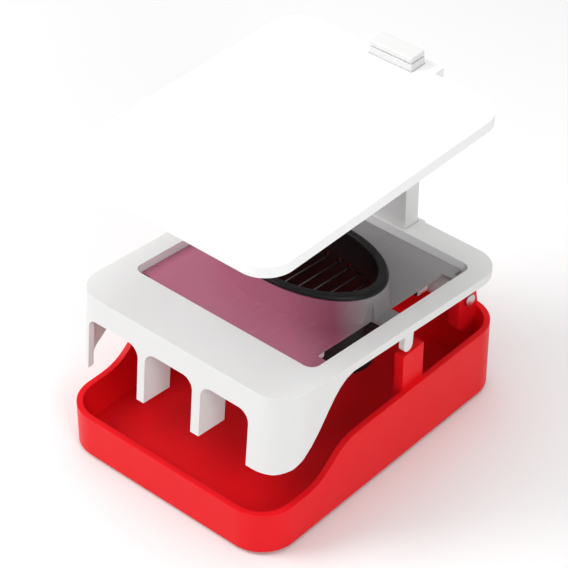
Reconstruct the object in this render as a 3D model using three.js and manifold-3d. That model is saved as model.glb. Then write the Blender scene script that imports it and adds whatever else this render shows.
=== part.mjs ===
// A press egg slicer: a catch tray, a cutting frame hinged to its rear wall, and a level press lid
// that slides down an upright column. Millimetres, +Z up, -Y is the front, the tray stands on z = 0.
import * as THREE from "three";
import { mergeVertices } from "three/addons/utils/BufferGeometryUtils.js";
import Module from "manifold-3d";

const wasm = await Module();
wasm.setup();

// ---- Driving dimensions ----------------------------------------------------------------------------
const GAP = 0.3; // clearance between pieces that touch or slide
const BREAK = 1; // how far a cutting solid runs past the face it opens

const TRAY_WIDTH = 104;
const TRAY_LENGTH = 140;
const TRAY_CORNER = 15;
const TRAY_WALL = 2.5;
const TRAY_FLOOR = 2.5;
const TRAY_FRONT_HEIGHT = 18;
const TRAY_REAR_HEIGHT = 30;
const TRAY_RISE_START = 22; // from the front face to where the side walls begin to rise
const TRAY_RISE_RUN = 30;

const FOOT_RADIUS = 6;
const FOOT_STANDOFF = 1.5;
const FOOT_POCKET = 1.2;
const FOOT_INSET = 18; // from the tray's sides to a foot's centre

const HINGE_INSET = 8; // from the tray's rear face to the hinge axis
const HINGE_RISE = 6; // from the rear rim to the hinge axis
const PIN_RADIUS = 1.5;
const PIN_HEAD = 2.6;
const PIN_HEAD_THICK = 1.2;
const BARREL_RADIUS = 4.5;
const BARREL_HALF = 34;
const EAR_THICK = 5;
const EAR_RADIUS = 5.5;

const FRAME_SIDE_INSET = 0; // from the tray's side to the frame's side
const FRAME_SETBACK = 12; // how much shorter the frame is than the tray
const FRAME_PITCH = 5; // degrees that the frame's front stands up at rest
const FRAME_TOP = 21; // from the hinge axis up to the frame's top face
const FRAME_OVERHANG = 4; // frame behind the hinge axis
const FRAME_PLATE = 3.5;
const FRAME_WALL = 2.5;
const FRAME_CORNER = 13;
const FRONT_RIM = 24;
const SIDE_RIM = 8;
const OPENING_CORNER = 4;
const LEG_DROP = 34; // from the frame's top face down to the legs' ends
const LEG_RUN = 38; // how far back the side walls take to rise from the legs to the plate
const APRON = 10.5;
const FIN_DEPTH = 14;
const LEG_RETURN = 2; // thickness of the walls that turn back from the outer legs
const WINDOW_ARCH = 5;
// Left and right edges of the three windows in the front wall; the fins stand between them.
const WINDOWS = [
  [-44, -18],
  [-14.5, 9],
  [13, 36],
];

const RECESS = 3.5; // from the frame's top face down to the insert plate
const INSERT_THICK = 1.6;
const LEDGE = 2.5;
const LEDGE_THICK = 1.6;
const SLOT_DEPTH = 8.2; // from the opening's right side into the insert
const SLOT_FRONT = 11.5; // from the opening's front to the first slot
const SLOT_REAR = 7.3; // from the second slot to the opening's rear
const SLOT_SPACING = 10; // between the two slots
const NOTCH = 4.5; // how far the lifting notches cut into the insert's corners

const OVAL_RADIUS = 31; // half the egg opening's long axis, across the slicer
const OVAL_RATIO = 0.67; // short axis over long axis
const COLLAR_WALL = 2.2;
const COLLAR_HEIGHT = 11.5; // from the insert plate up to the collar's rim
const COLLAR_FLANGE = 1.8;
const HUMP_WALL = 2;
const HUMP_FLARE = 2; // how far the raised surround spreads at its foot, if the well has room
const WIRE_COUNT = 11;
const WIRE_MARGIN = 3; // from the outer wires to the ends of the egg opening
const WIRE_RADIUS = 0.3;
const WIRE_BORE = 0.65;
const CLAMP_WIDTH = 6;
const CLAMP_THICK = 4;
const CLAMP_CLEARANCE = 5; // from the egg opening's edge to a clamp bar
const GUIDE_DEPTH = 24;
const GUIDE_TAB = 6; // width of the tabs that carry the slice guide's screws

const SCREW_HEAD = 2;
const SCREW_HEAD_THICK = 1.3;
const SCREW_SHANK = 1;

const LUG_BACK = 74; // from the frame's front to the middle of a support lug
const LUG_WIDTH = 5;
const LUG_THICK = 2.5;
const REST_TOP = 47.5; // height of the tray's posts, which the lugs stand on
const REST_HEIGHT = 28;
const REST_AHEAD = 3; // from a lug's middle to its post's front
const REST_BEHIND = 9;
const REST_DEPTH = 4;

const COLUMN_WIDTH = 20;
const COLUMN_DEPTH = 8;
const COLUMN_WALL = 2;
const COLUMN_BACK = 0.5; // column's centre behind the hinge axis
const COLUMN_ABOVE_LID = 3;
const SOCKET_DEPTH = 11.5;
const SOCKET_WALL = 1.6;
const SOCKET_FLOOR = 3.2;
const CAP_THICK = 2.4;

const LID_SIDE_INSET = 1; // from the frame's side to the lid's side
const LID_SETBACK = 3.5; // from the tray's front to the lid's front
const LID_REAR_REACH = 1; // lid's rear edge behind the column's centre
const LID_THICK = 4.6;
const LID_SKIN = 2.2;
const LID_RIM = 3;
const LID_CORNER = 12;
const STROKE = 50;
const CARRIAGE_HEIGHT = 15;
const CARRIAGE_WALL = 2.2;
const TONGUE_THICK = 3;
const TONGUE_HALF = 5.5;
const TONGUE_DROP = 4; // from the lid's underside to the tongue

const SPRING_RADIUS = 2.5;
const SPRING_WIRE = 0.4;
const SPRING_TURNS = 10;
const COMB_BASE = 3.4;
const FINGER_COUNT = 10;
const FINGER_THICK = 2.4;
const FINGER_THROUGH = 1.2; // how far the fingers pass between the wires
const COMB_STOP = 2; // from the collar's rim to the comb at the end of the stroke
const FINGER_CLEARANCE = 3.2; // from the collar's bore to a finger's end

// ---- Places that follow from them ------------------------------------------------------------------
const frameWidth = TRAY_WIDTH - 2 * FRAME_SIDE_INSET;
const frameLength = TRAY_LENGTH - FRAME_SETBACK;
const lidWidth = frameWidth - 2 * LID_SIDE_INSET;
const lidFront = LID_SETBACK - TRAY_LENGTH / 2;
const trayBase = FOOT_STANDOFF;
const trayFloorTop = trayBase + TRAY_FLOOR;
const rimFront = trayBase + TRAY_FRONT_HEIGHT;
const rimRear = trayBase + TRAY_REAR_HEIGHT;
const hingeY = TRAY_LENGTH / 2 - HINGE_INSET;
const hingeZ = rimRear + HINGE_RISE;
const boreRadius = PIN_RADIUS + GAP;
const pitch = THREE.MathUtils.degToRad(FRAME_PITCH);
const frameMatrix = new THREE.Matrix4().makeRotationX(-pitch).setPosition(0, hingeY, hingeZ);
const worldToFrame = frameMatrix.clone().invert();

// Frame places are measured from the hinge axis, with the frame level.
const frameFront = FRAME_OVERHANG - frameLength;
const plateUnder = FRAME_TOP - FRAME_PLATE;
const legEnd = FRAME_TOP - LEG_DROP;
const openingFront = frameFront + FRONT_RIM;
const socketY = COLUMN_BACK - FRAME_TOP * Math.sin(pitch);
const openingRear = socketY - COLUMN_DEPTH / 2 - GAP - SOCKET_WALL;
const openingMiddle = (openingFront + openingRear) / 2;
const openingLength = openingRear - openingFront;
const openingWidth = frameWidth - 2 * SIDE_RIM;
const insertTop = FRAME_TOP - RECESS;
const insertUnder = insertTop - INSERT_THICK;
const ledgeTop = insertUnder - GAP;
const wellBottom = ledgeTop - LEDGE_THICK;
const collarTop = insertTop + COLLAR_HEIGHT;
const humpTop = collarTop - COLLAR_FLANGE - GAP;
const collarOuter = OVAL_RADIUS + COLLAR_WALL;
const humpInner = collarOuter + 2 * GAP;
const humpOuter = humpInner + HUMP_WALL;
const humpFoot = Math.min(humpOuter + HUMP_FLARE, openingWidth / 2 - 2 * GAP);
const clampTop = insertUnder - GAP;
const clampUnder = clampTop - CLAMP_THICK;
const wireZ = (clampTop + clampUnder) / 2;
const wirePitch = (2 * (OVAL_RADIUS - WIRE_MARGIN)) / (WIRE_COUNT - 1);
const clampOffset = collarOuter * OVAL_RATIO + CLAMP_CLEARANCE + CLAMP_WIDTH / 2;
const clampHalf = ((WIRE_COUNT - 1) / 2) * wirePitch + CLAMP_WIDTH;
const guideBottom = clampTop - GUIDE_DEPTH;
const lugY = frameFront + LUG_BACK;
const lugOuter = TRAY_WIDTH / 2 - TRAY_WALL - 2 * GAP;

const columnY = hingeY + COLUMN_BACK;
const frameTopZ = hingeZ + FRAME_TOP;
const columnFoot = frameTopZ - SOCKET_DEPTH;
const columnSolidTop = frameTopZ + 2;
// The press is centred on the collar's bore halfway up it, and its stroke ends just above the collar.
const atFrame = (y, z) => new THREE.Vector3(0, y, z).applyMatrix4(frameMatrix);
const boreMiddle = atFrame(openingMiddle, (wireZ + collarTop) / 2);
const collarRim = atFrame(openingMiddle - humpOuter * OVAL_RATIO, collarTop);
const combUnder = collarRim.z + COMB_STOP + STROKE;
const combTop = combUnder + COMB_BASE;
const fingerLength = combUnder - STROKE - atFrame(openingMiddle, wireZ).z + FINGER_THROUGH;
const pocketRoof = combTop + GAP;
const lidTop = pocketRoof + LID_SKIN;
const lidUnder = lidTop - LID_THICK;
const columnTop = lidTop + COLUMN_ABOVE_LID;
const tongueTop = lidUnder - TONGUE_DROP;
const tongueUnder = tongueTop - TONGUE_THICK;
const carriageUnder = lidUnder - GAP - CARRIAGE_HEIGHT;

// ---- Finishes --------------------------------------------------------------------------------------
const finish = (color, roughness, metalness = 0) =>
  new THREE.MeshStandardMaterial({ color, roughness, metalness });
const redPlastic = () => finish(0xe62626, 0.35);
const whitePlastic = () => finish(0xf2f2f0, 0.35);
const greyPlastic = () => finish(0x8c8488, 0.4);
const blackPlastic = () => finish(0x161616, 0.3);
const steel = () => finish(0xc8c8c8, 0.3, 1);
const rubber = () => finish(0x2a2a2a, 0.9);

// ---- Solid helpers ---------------------------------------------------------------------------------
// A closed geometry as a solid that can be joined and cut.
function solid(geometry) {
  const bare = geometry.index ? geometry.toNonIndexed() : geometry.clone();
  bare.deleteAttribute("normal");
  bare.deleteAttribute("uv");
  const merged = mergeVertices(bare, 1e-4);
  return new wasm.Manifold(
    new wasm.Mesh({
      numProp: 3,
      vertProperties: new Float32Array(merged.attributes.position.array),
      triVerts: new Uint32Array(merged.index.array),
    }),
  );
}

// A named mesh made from a solid.
function piece(name, shape, material) {
  const data = shape.getMesh();
  const geometry = new THREE.BufferGeometry();
  geometry.setAttribute("position", new THREE.BufferAttribute(new Float32Array(data.vertProperties), 3));
  geometry.setIndex(new THREE.BufferAttribute(new Uint32Array(data.triVerts), 1));
  geometry.computeVertexNormals();
  const mesh = new THREE.Mesh(geometry, material);
  mesh.name = name;
  return mesh;
}

const union = (shapes) => shapes.reduce((all, next) => all.add(next));
const cutAll = (shape, cutters) => cutters.reduce((left, cutter) => left.subtract(cutter), shape);

// A box between two corners.
function boxGeometry(x0, x1, y0, y1, z0, z1) {
  const box = new THREE.BoxGeometry(x1 - x0, y1 - y0, z1 - z0);
  return box.translate((x0 + x1) / 2, (y0 + y1) / 2, (z0 + z1) / 2);
}
const box = (...sides) => solid(boxGeometry(...sides));

// A rectangle about x = 0 from y0 to y1, with round corners.
function roundedRect(width, y0, y1, radius) {
  const half = width / 2;
  const r = radius;
  const quarter = Math.PI / 2;
  const shape = new THREE.Shape();
  shape.moveTo(-half + r, y0);
  shape.lineTo(half - r, y0);
  shape.absarc(half - r, y0 + r, r, -quarter, 0);
  shape.lineTo(half, y1 - r);
  shape.absarc(half - r, y1 - r, r, 0, quarter);
  shape.lineTo(-half + r, y1);
  shape.absarc(-half + r, y1 - r, r, quarter, 2 * quarter);
  shape.lineTo(-half, y0 + r);
  shape.absarc(-half + r, y0 + r, r, 2 * quarter, 3 * quarter);
  return shape;
}

// A flat outline raised from z0 to z1.
function slabGeometry(shape, z0, z1, curveSegments = 8) {
  const options = { depth: z1 - z0, bevelEnabled: false, curveSegments };
  return new THREE.ExtrudeGeometry(shape, options).translate(0, 0, z0);
}
const slab = (...sizes) => solid(slabGeometry(...sizes));

// An outline drawn in Y and Z, carried along X.
function prismX(shape, x0, x1, curveSegments = 10) {
  const along = new THREE.Matrix4().makeBasis(
    new THREE.Vector3(0, 1, 0),
    new THREE.Vector3(0, 0, 1),
    new THREE.Vector3(1, 0, 0),
  );
  const options = { depth: x1 - x0, bevelEnabled: false, curveSegments };
  return solid(new THREE.ExtrudeGeometry(shape, options).applyMatrix4(along).translate(x0, 0, 0));
}

// An outline drawn in X and Z, carried along Y.
function prismY(shape, y0, y1, curveSegments = 6) {
  const options = { depth: y1 - y0, bevelEnabled: false, curveSegments };
  const geometry = new THREE.ExtrudeGeometry(shape, options);
  return solid(geometry.rotateX(Math.PI / 2).translate(0, y1, 0));
}

const rod = (radius, length, sides) => new THREE.CylinderGeometry(radius, radius, length, sides);
const rodX = (radius, x0, x1, sides = 20) =>
  rod(radius, x1 - x0, sides)
    .rotateZ(Math.PI / 2)
    .translate((x0 + x1) / 2, 0, 0);
const rodY = (radius, y0, y1, sides = 16) => rod(radius, y1 - y0, sides).translate(0, (y0 + y1) / 2, 0);
const rodZ = (radius, z0, z1, sides = 16) =>
  rod(radius, z1 - z0, sides)
    .rotateX(Math.PI / 2)
    .translate(0, 0, (z0 + z1) / 2);

// A profile of [radius, z] points turned about Z and drawn in to an oval, its centre at y.
function ovalTurn(profile, y, segments = 48) {
  const points = [...profile, profile[0]].map(([radius, z]) => new THREE.Vector2(radius, z));
  const turned = new THREE.LatheGeometry(points, segments).rotateX(Math.PI / 2);
  return solid(turned.scale(1, OVAL_RATIO, 1).translate(0, y, 0));
}

// An oval disc or plug.
const ovalPlug = (radius, z0, z1, y, segments = 48) =>
  solid(rodZ(radius, z0, z1, segments).scale(1, OVAL_RATIO, 1).translate(0, y, 0));

// A pan head screw whose head is below z and whose shank reaches up to tip.
function screwUp(z, tip) {
  const head = solid(rodZ(SCREW_HEAD, z - SCREW_HEAD_THICK, z));
  return head.add(solid(rodZ(SCREW_SHANK, z - SCREW_HEAD_THICK / 2, tip, 10)));
}
const screwHoleUp = (x, y, z0, z1) => solid(rodZ(SCREW_SHANK + GAP, z0, z1, 12).translate(x, y, 0));

const wirePlaces = Array.from({ length: WIRE_COUNT }, (_, i) => (i - (WIRE_COUNT - 1) / 2) * wirePitch);
const fingerPlaces = Array.from({ length: FINGER_COUNT }, (_, i) => (i - (FINGER_COUNT - 1) / 2) * wirePitch);
const sides = [
  ["left", -1],
  ["right", 1],
];
// Half the oval's chord at x, along Y.
const ovalChord = (radius, x) => OVAL_RATIO * Math.sqrt(radius ** 2 - x ** 2);

// ---- Catch tray ------------------------------------------------------------------------------------
const footPlaces = [
  ["front_left", -1, -1],
  ["front_right", 1, -1],
  ["rear_left", -1, 1],
  ["rear_right", 1, 1],
].map(([name, sx, sy]) => [name, sx * (TRAY_WIDTH / 2 - FOOT_INSET), sy * (TRAY_LENGTH / 2 - FOOT_INSET)]);

// Everything above the rim, which is low at the front and rises in a long S along the sides.
function aboveRim() {
  const front = -TRAY_LENGTH / 2;
  const riseEnd = front + TRAY_RISE_START + TRAY_RISE_RUN;
  const shape = new THREE.Shape();
  shape.moveTo(front - BREAK, rimFront);
  shape.lineTo(front + TRAY_RISE_START, rimFront);
  shape.bezierCurveTo(
    front + TRAY_RISE_START + TRAY_RISE_RUN / 2,
    rimFront,
    riseEnd - TRAY_RISE_RUN / 2,
    rimRear,
    riseEnd,
    rimRear,
  );
  shape.lineTo(riseEnd, rimRear + BREAK);
  shape.lineTo(front - BREAK, rimRear + BREAK);
  return prismX(shape, -TRAY_WIDTH / 2 - BREAK, TRAY_WIDTH / 2 + BREAK);
}

// One hinge ear, from the rear wall round the axis.
function hingeEar(side) {
  const wallInner = TRAY_LENGTH / 2 - TRAY_WALL;
  const root = rimRear - 3 * EAR_RADIUS;
  const shape = new THREE.Shape();
  shape.moveTo(wallInner + TRAY_WALL / 2, root);
  shape.lineTo(wallInner + TRAY_WALL / 2, rimRear - GAP);
  shape.lineTo(hingeY + EAR_RADIUS, hingeZ);
  shape.absarc(hingeY, hingeZ, EAR_RADIUS, 0, Math.PI);
  shape.lineTo(hingeY - EAR_RADIUS, rimRear - EAR_RADIUS);
  const inner = BARREL_HALF + GAP;
  const [x0, x1] = side > 0 ? [inner, inner + EAR_THICK] : [-inner - EAR_THICK, -inner];
  return prismX(shape, x0, x1);
}

function trayShell() {
  const half = TRAY_LENGTH / 2;
  const outer = slab(roundedRect(TRAY_WIDTH, -half, half, TRAY_CORNER), trayBase, rimRear);
  const innerRect = roundedRect(
    TRAY_WIDTH - 2 * TRAY_WALL,
    -half + TRAY_WALL,
    half - TRAY_WALL,
    TRAY_CORNER - TRAY_WALL,
  );
  const inner = slab(innerRect, trayFloorTop, rimRear + BREAK);
  const shell = outer.subtract(inner).subtract(aboveRim());
  const wallInner = TRAY_WIDTH / 2 - TRAY_WALL;
  const restY = atFrame(lugY, 0).y;
  const rests = sides.map(([, side]) => {
    const ends = [side * (wallInner - REST_DEPTH), side * (wallInner + GAP)];
    const [x0, x1] = ends.sort((a, b) => a - b);
    return box(x0, x1, restY - REST_AHEAD, restY + REST_BEHIND, REST_TOP - REST_HEIGHT, REST_TOP);
  });
  const ears = sides.map(([, side]) => hingeEar(side));
  const pockets = footPlaces.map(([, x, y]) =>
    solid(rodZ(FOOT_RADIUS + GAP, trayBase - BREAK, trayBase + FOOT_POCKET, 24).translate(x, y, 0)),
  );
  const reach = BARREL_HALF + EAR_THICK + PIN_HEAD;
  const bore = solid(rodX(boreRadius, -reach, reach).translate(0, hingeY, hingeZ));
  return cutAll(union([shell, ...rests, ...ears]), [...pockets, bore]);
}

function foot(x, y) {
  return solid(rodZ(FOOT_RADIUS, 0, trayBase + FOOT_POCKET - GAP, 24).translate(x, y, 0));
}

function hingePin() {
  const shank = BARREL_HALF + EAR_THICK + 2 * GAP;
  const middle = solid(rodX(PIN_RADIUS, -shank - PIN_HEAD_THICK / 2, shank + PIN_HEAD_THICK / 2));
  const heads = sides.map(([, side]) => {
    const [x0, x1] = side > 0 ? [shank, shank + PIN_HEAD_THICK] : [-shank - PIN_HEAD_THICK, -shank];
    return solid(rodX(PIN_HEAD, x0, x1));
  });
  return union([middle, ...heads]);
}

// ---- Cutting frame, in its own level places ---------------------------------------------------------
const columnSides = (spare) => [
  -COLUMN_WIDTH / 2 - spare,
  COLUMN_WIDTH / 2 + spare,
  columnY - COLUMN_DEPTH / 2 - spare,
  columnY + COLUMN_DEPTH / 2 + spare,
];

// The wall under the plate's edge: deep at the front legs, sweeping up to the plate along the sides.
function skirt() {
  const rear = FRAME_OVERHANG;
  const outer = slab(roundedRect(frameWidth, frameFront, rear, FRAME_CORNER), legEnd, FRAME_TOP);
  const innerRect = roundedRect(
    frameWidth - 2 * FRAME_WALL,
    frameFront + FRAME_WALL,
    rear - FRAME_WALL,
    FRAME_CORNER - FRAME_WALL,
  );
  const inner = slab(innerRect, legEnd - BREAK, FRAME_TOP + BREAK);
  const sweepEnd = frameFront + LEG_RUN;
  const kept = new THREE.Shape();
  kept.moveTo(frameFront - BREAK, legEnd);
  kept.lineTo(frameFront + FRAME_WALL, legEnd);
  kept.bezierCurveTo(
    frameFront + LEG_RUN * 0.62,
    legEnd + LEG_DROP * 0.12,
    frameFront + LEG_RUN * 0.62,
    plateUnder - LEG_DROP * 0.06,
    sweepEnd,
    plateUnder,
  );
  kept.lineTo(rear + BREAK, plateUnder);
  kept.lineTo(rear + BREAK, FRAME_TOP);
  kept.lineTo(frameFront - BREAK, FRAME_TOP);
  const reach = frameWidth / 2 + BREAK;
  return outer.subtract(inner).intersect(prismX(kept, -reach, reach));
}

// A window that is open below and arched above.
function windowCut([x0, x1]) {
  const top = FRAME_TOP - APRON;
  const shape = new THREE.Shape();
  shape.moveTo(x0, legEnd - BREAK);
  shape.lineTo(x1, legEnd - BREAK);
  shape.lineTo(x1, top - WINDOW_ARCH);
  shape.absarc(x1 - WINDOW_ARCH, top - WINDOW_ARCH, WINDOW_ARCH, 0, Math.PI / 2);
  shape.lineTo(x0 + WINDOW_ARCH, top);
  shape.absarc(x0 + WINDOW_ARCH, top - WINDOW_ARCH, WINDOW_ARCH, Math.PI / 2, Math.PI);
  return prismY(shape, frameFront - BREAK, frameFront + FRAME_CORNER);
}

// A wall that runs back from the front, between x0 and x1.
const finWall = (x0, x1) =>
  box(x0, x1, frameFront + GAP, frameFront + FIN_DEPTH, legEnd, FRAME_TOP - FRAME_PLATE / 2);

function frameShell() {
  const plate = slab(roundedRect(frameWidth, frameFront, FRAME_OVERHANG, FRAME_CORNER), plateUnder, FRAME_TOP);
  const front = skirt().subtract(union(WINDOWS.map(windowCut)));
  const fins = [
    finWall(WINDOWS[0][1], WINDOWS[1][0]),
    finWall(WINDOWS[1][1], WINDOWS[2][0]),
    finWall(WINDOWS[2][1], WINDOWS[2][1] + LEG_RETURN),
  ];
  const wellOutline = roundedRect(
    openingWidth + 2 * FRAME_WALL,
    openingFront - FRAME_WALL,
    openingRear + FRAME_WALL,
    OPENING_CORNER,
  );
  const wellWall = slab(wellOutline, wellBottom, plateUnder + GAP);
  const socket = box(
    -COLUMN_WIDTH / 2 - SOCKET_WALL - GAP,
    COLUMN_WIDTH / 2 + SOCKET_WALL + GAP,
    openingRear,
    socketY + COLUMN_DEPTH / 2 + SOCKET_WALL + 2 * GAP,
    FRAME_TOP - SOCKET_DEPTH - SOCKET_FLOOR,
    FRAME_TOP,
  );
  const panelFace = FRAME_OVERHANG - FRAME_WALL;
  const rearPanel = box(-BARREL_HALF, BARREL_HALF, panelFace, FRAME_OVERHANG, 0, plateUnder + GAP);
  const barrel = solid(rodX(BARREL_RADIUS, -BARREL_HALF, BARREL_HALF));
  const lugs = sides.map(([, side]) => lug(side));
  const openingOutline = roundedRect(openingWidth, openingFront, openingRear, OPENING_CORNER);
  const through = slab(openingOutline, ledgeTop, FRAME_TOP + BREAK);
  const ledgeHole = slab(
    roundedRect(openingWidth - 2 * LEDGE, openingFront + LEDGE, openingRear - LEDGE, OPENING_CORNER),
    wellBottom - BREAK,
    ledgeTop + BREAK,
  );
  const rightNotches = union(
    [openingFront, openingRear].map((y) => cornerNotch(1, y, wellBottom - BREAK, ledgeTop + BREAK)),
  ).intersect(slab(openingOutline, wellBottom - BREAK, ledgeTop + BREAK));
  // Where the opening is short, the ledge makes room for the clamps.
  const clampRoom = [-1, 1].map((way) => {
    const y = openingMiddle + way * clampOffset;
    const half = CLAMP_WIDTH / 2 + GAP;
    return box(-clampHalf - GAP, clampHalf + GAP, y - half, y + half, clampUnder - GAP, clampTop + GAP);
  });
  const columnCut = solid(
    boxGeometry(...columnSides(GAP), columnFoot - GAP, columnTop).applyMatrix4(worldToFrame),
  );
  const bore = solid(rodX(boreRadius, -BARREL_HALF - BREAK, BARREL_HALF + BREAK));
  const screwCuts = columnScrewPlaces.map((x) =>
    solid(rodY(SCREW_SHANK + GAP, socketY, 2 * COLUMN_DEPTH, 12).translate(x, 0, columnScrewZ)),
  );
  const body = union([plate, front, ...fins, wellWall, socket, rearPanel, barrel, ...lugs]);
  return cutAll(body, [through, ledgeHole, rightNotches, ...clampRoom, columnCut, bore, ...screwCuts]);
}

// A support lug: it hangs from the side rim and its round end stands on the tray's post.
function lug(side) {
  const radius = LUG_WIDTH / 2;
  const centreZ = (REST_TOP + GAP + radius - hingeZ + lugY * Math.sin(pitch)) / Math.cos(pitch);
  const shape = new THREE.Shape();
  shape.moveTo(lugY - radius, plateUnder + GAP);
  shape.lineTo(lugY - radius, centreZ);
  shape.absarc(lugY, centreZ, radius, Math.PI, 2 * Math.PI);
  shape.lineTo(lugY + radius, plateUnder + GAP);
  const [x0, x1] = side > 0 ? [lugOuter - LUG_THICK, lugOuter] : [-lugOuter, LUG_THICK - lugOuter];
  return prismX(shape, x0, x1);
}

const slotLength = (openingLength - SLOT_FRONT - SLOT_SPACING - SLOT_REAR) / 2;
const slotStarts = [openingFront + SLOT_FRONT, openingRear - SLOT_REAR - slotLength];

// The square taken out of one corner of the opening.
function cornerNotch(side, y, z0, z1) {
  const x = (side * openingWidth) / 2;
  return box(x - NOTCH, x + NOTCH, y - NOTCH, y + NOTCH, z0, z1);
}

function insertPlate() {
  const y0 = openingFront + GAP;
  const y1 = openingRear - GAP;
  const outline = roundedRect(openingWidth - 2 * GAP, y0, y1, OPENING_CORNER - GAP);
  const sheet = slab(outline, insertUnder, insertTop);
  const hump = ovalTurn(
    [
      [OVAL_RADIUS, insertUnder],
      [humpFoot, insertUnder],
      [humpFoot, insertTop],
      [humpOuter + (humpFoot - humpOuter) * 0.25, insertTop + COLLAR_HEIGHT / 2],
      [humpOuter, humpTop],
      [humpInner, humpTop],
      [humpInner, insertTop],
      [OVAL_RADIUS, insertTop],
    ],
    openingMiddle,
  );
  const hole = ovalPlug(humpInner, insertUnder - BREAK, humpTop + BREAK, openingMiddle);
  const slots = slotStarts.map((y) =>
    box(openingWidth / 2 - SLOT_DEPTH, openingWidth / 2, y, y + slotLength, insertUnder - BREAK, humpTop),
  );
  const corners = [openingFront, openingRear].flatMap((y) =>
    sides.map(([, side]) => cornerNotch(side, y, insertUnder - BREAK, insertTop + BREAK)),
  );
  return cutAll(sheet.add(hump), [hole, ...slots, ...corners]);
}

// The collar lines the bore and its flange covers the surround's top.
function eggCollar() {
  return ovalTurn(
    [
      [OVAL_RADIUS, insertUnder],
      [collarOuter, insertUnder],
      [collarOuter, humpTop + GAP],
      [humpOuter, humpTop + GAP],
      [humpOuter, collarTop - COLLAR_FLANGE / 2],
      [humpInner + HUMP_WALL / 2, collarTop],
      [OVAL_RADIUS + COLLAR_WALL / 2, collarTop],
      [OVAL_RADIUS, collarTop - COLLAR_FLANGE / 2],
    ],
    openingMiddle,
  );
}

// The tube under the wires, slotted for them, that lets the slices fall straight into the tray.
function sliceGuide() {
  const tube = ovalTurn(
    [
      [OVAL_RADIUS, guideBottom],
      [collarOuter, guideBottom],
      [collarOuter, clampTop],
      [OVAL_RADIUS, clampTop],
    ],
    openingMiddle,
  );
  const tabs = sides.map(([, side]) => {
    const inner = side * (OVAL_RADIUS + COLLAR_WALL / 2);
    const outer = side * (collarOuter + GUIDE_TAB);
    const [x0, x1] = side > 0 ? [inner, outer] : [outer, inner];
    return box(
      x0,
      x1,
      openingMiddle - GUIDE_TAB / 2,
      openingMiddle + GUIDE_TAB / 2,
      clampTop - GUIDE_TAB / 2,
      clampTop,
    );
  });
  const wireSlots = wirePlaces.map((x) =>
    box(
      x - WIRE_BORE,
      x + WIRE_BORE,
      openingMiddle - collarOuter,
      openingMiddle + collarOuter,
      wireZ - WIRE_BORE,
      clampTop + BREAK,
    ),
  );
  const holes = guideScrewPlaces.map((x) => screwHoleUp(x, openingMiddle, guideBottom, clampTop + BREAK));
  return cutAll(union([tube, ...tabs]), [...wireSlots, ...holes]);
}
const guideScrewPlaces = [-1, 1].map((way) => way * (collarOuter + GUIDE_TAB / 2));
const clampScrewX = clampHalf - CLAMP_WIDTH / 2 + GAP;

function wireClamp(y) {
  const bar = box(-clampHalf, clampHalf, y - CLAMP_WIDTH / 2, y + CLAMP_WIDTH / 2, clampUnder, clampTop);
  const bores = wirePlaces.map((x) => {
    const bore = rodY(WIRE_BORE, y - CLAMP_WIDTH / 2 - BREAK, y + CLAMP_WIDTH / 2 + BREAK, 6);
    return solid(bore.translate(x, 0, wireZ));
  });
  const holes = [-clampScrewX, clampScrewX].map((x) => screwHoleUp(x, y, clampUnder - BREAK, clampTop + BREAK));
  return cutAll(bar, [...bores, ...holes]);
}

function wire(x) {
  const reach = clampOffset + CLAMP_WIDTH / 2 - GAP;
  return solid(rodY(WIRE_RADIUS, openingMiddle - reach, openingMiddle + reach, 6).translate(x, 0, wireZ));
}

const columnScrewPlaces = [-COLUMN_WIDTH / 4, COLUMN_WIDTH / 4];
const columnScrewZ = FRAME_TOP - SOCKET_DEPTH / 2;
const columnScrewFace = socketY + COLUMN_DEPTH / 2 + SOCKET_WALL + 3 * GAP;

// A screw through the socket's rear wall into the column's foot.
function columnScrew(x) {
  const face = columnScrewFace;
  const head = rodY(SCREW_HEAD, face, face + SCREW_HEAD_THICK).translate(x, 0, columnScrewZ);
  const shank = rodY(SCREW_SHANK, face - COLUMN_DEPTH / 2, face + SCREW_HEAD_THICK / 2, 10);
  return solid(head).add(solid(shank.translate(x, 0, columnScrewZ)));
}

// ---- Column, spring and press, upright --------------------------------------------------------------
function guideColumn() {
  const full = box(...columnSides(0), columnFoot, columnTop);
  const channel = box(
    -COLUMN_WIDTH / 2 + COLUMN_WALL,
    COLUMN_WIDTH / 2 - COLUMN_WALL,
    columnY - COLUMN_DEPTH / 2 + COLUMN_WALL,
    columnY + COLUMN_DEPTH / 2 + BREAK,
    columnSolidTop,
    columnTop + BREAK,
  );
  const screwCuts = columnScrewPlaces.map((x) => {
    const hole = rodY(SCREW_SHANK + GAP, columnScrewFace - COLUMN_DEPTH / 2 - GAP, 2 * COLUMN_DEPTH, 12);
    return solid(hole.translate(x, 0, columnScrewZ).applyMatrix4(frameMatrix));
  });
  return cutAll(full.subtract(channel), screwCuts);
}

function columnCap() {
  const [x0, x1, y0, y1] = columnSides(0);
  const top = box(x0, x1, y0, y1, columnTop + GAP, columnTop + GAP + CAP_THICK);
  const inset = COLUMN_WALL + GAP;
  const plug = box(x0 + inset, x1 - inset, y0 + inset, y1 - inset, columnTop - CAP_THICK, columnTop + 2 * GAP);
  return top.add(plug);
}

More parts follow.
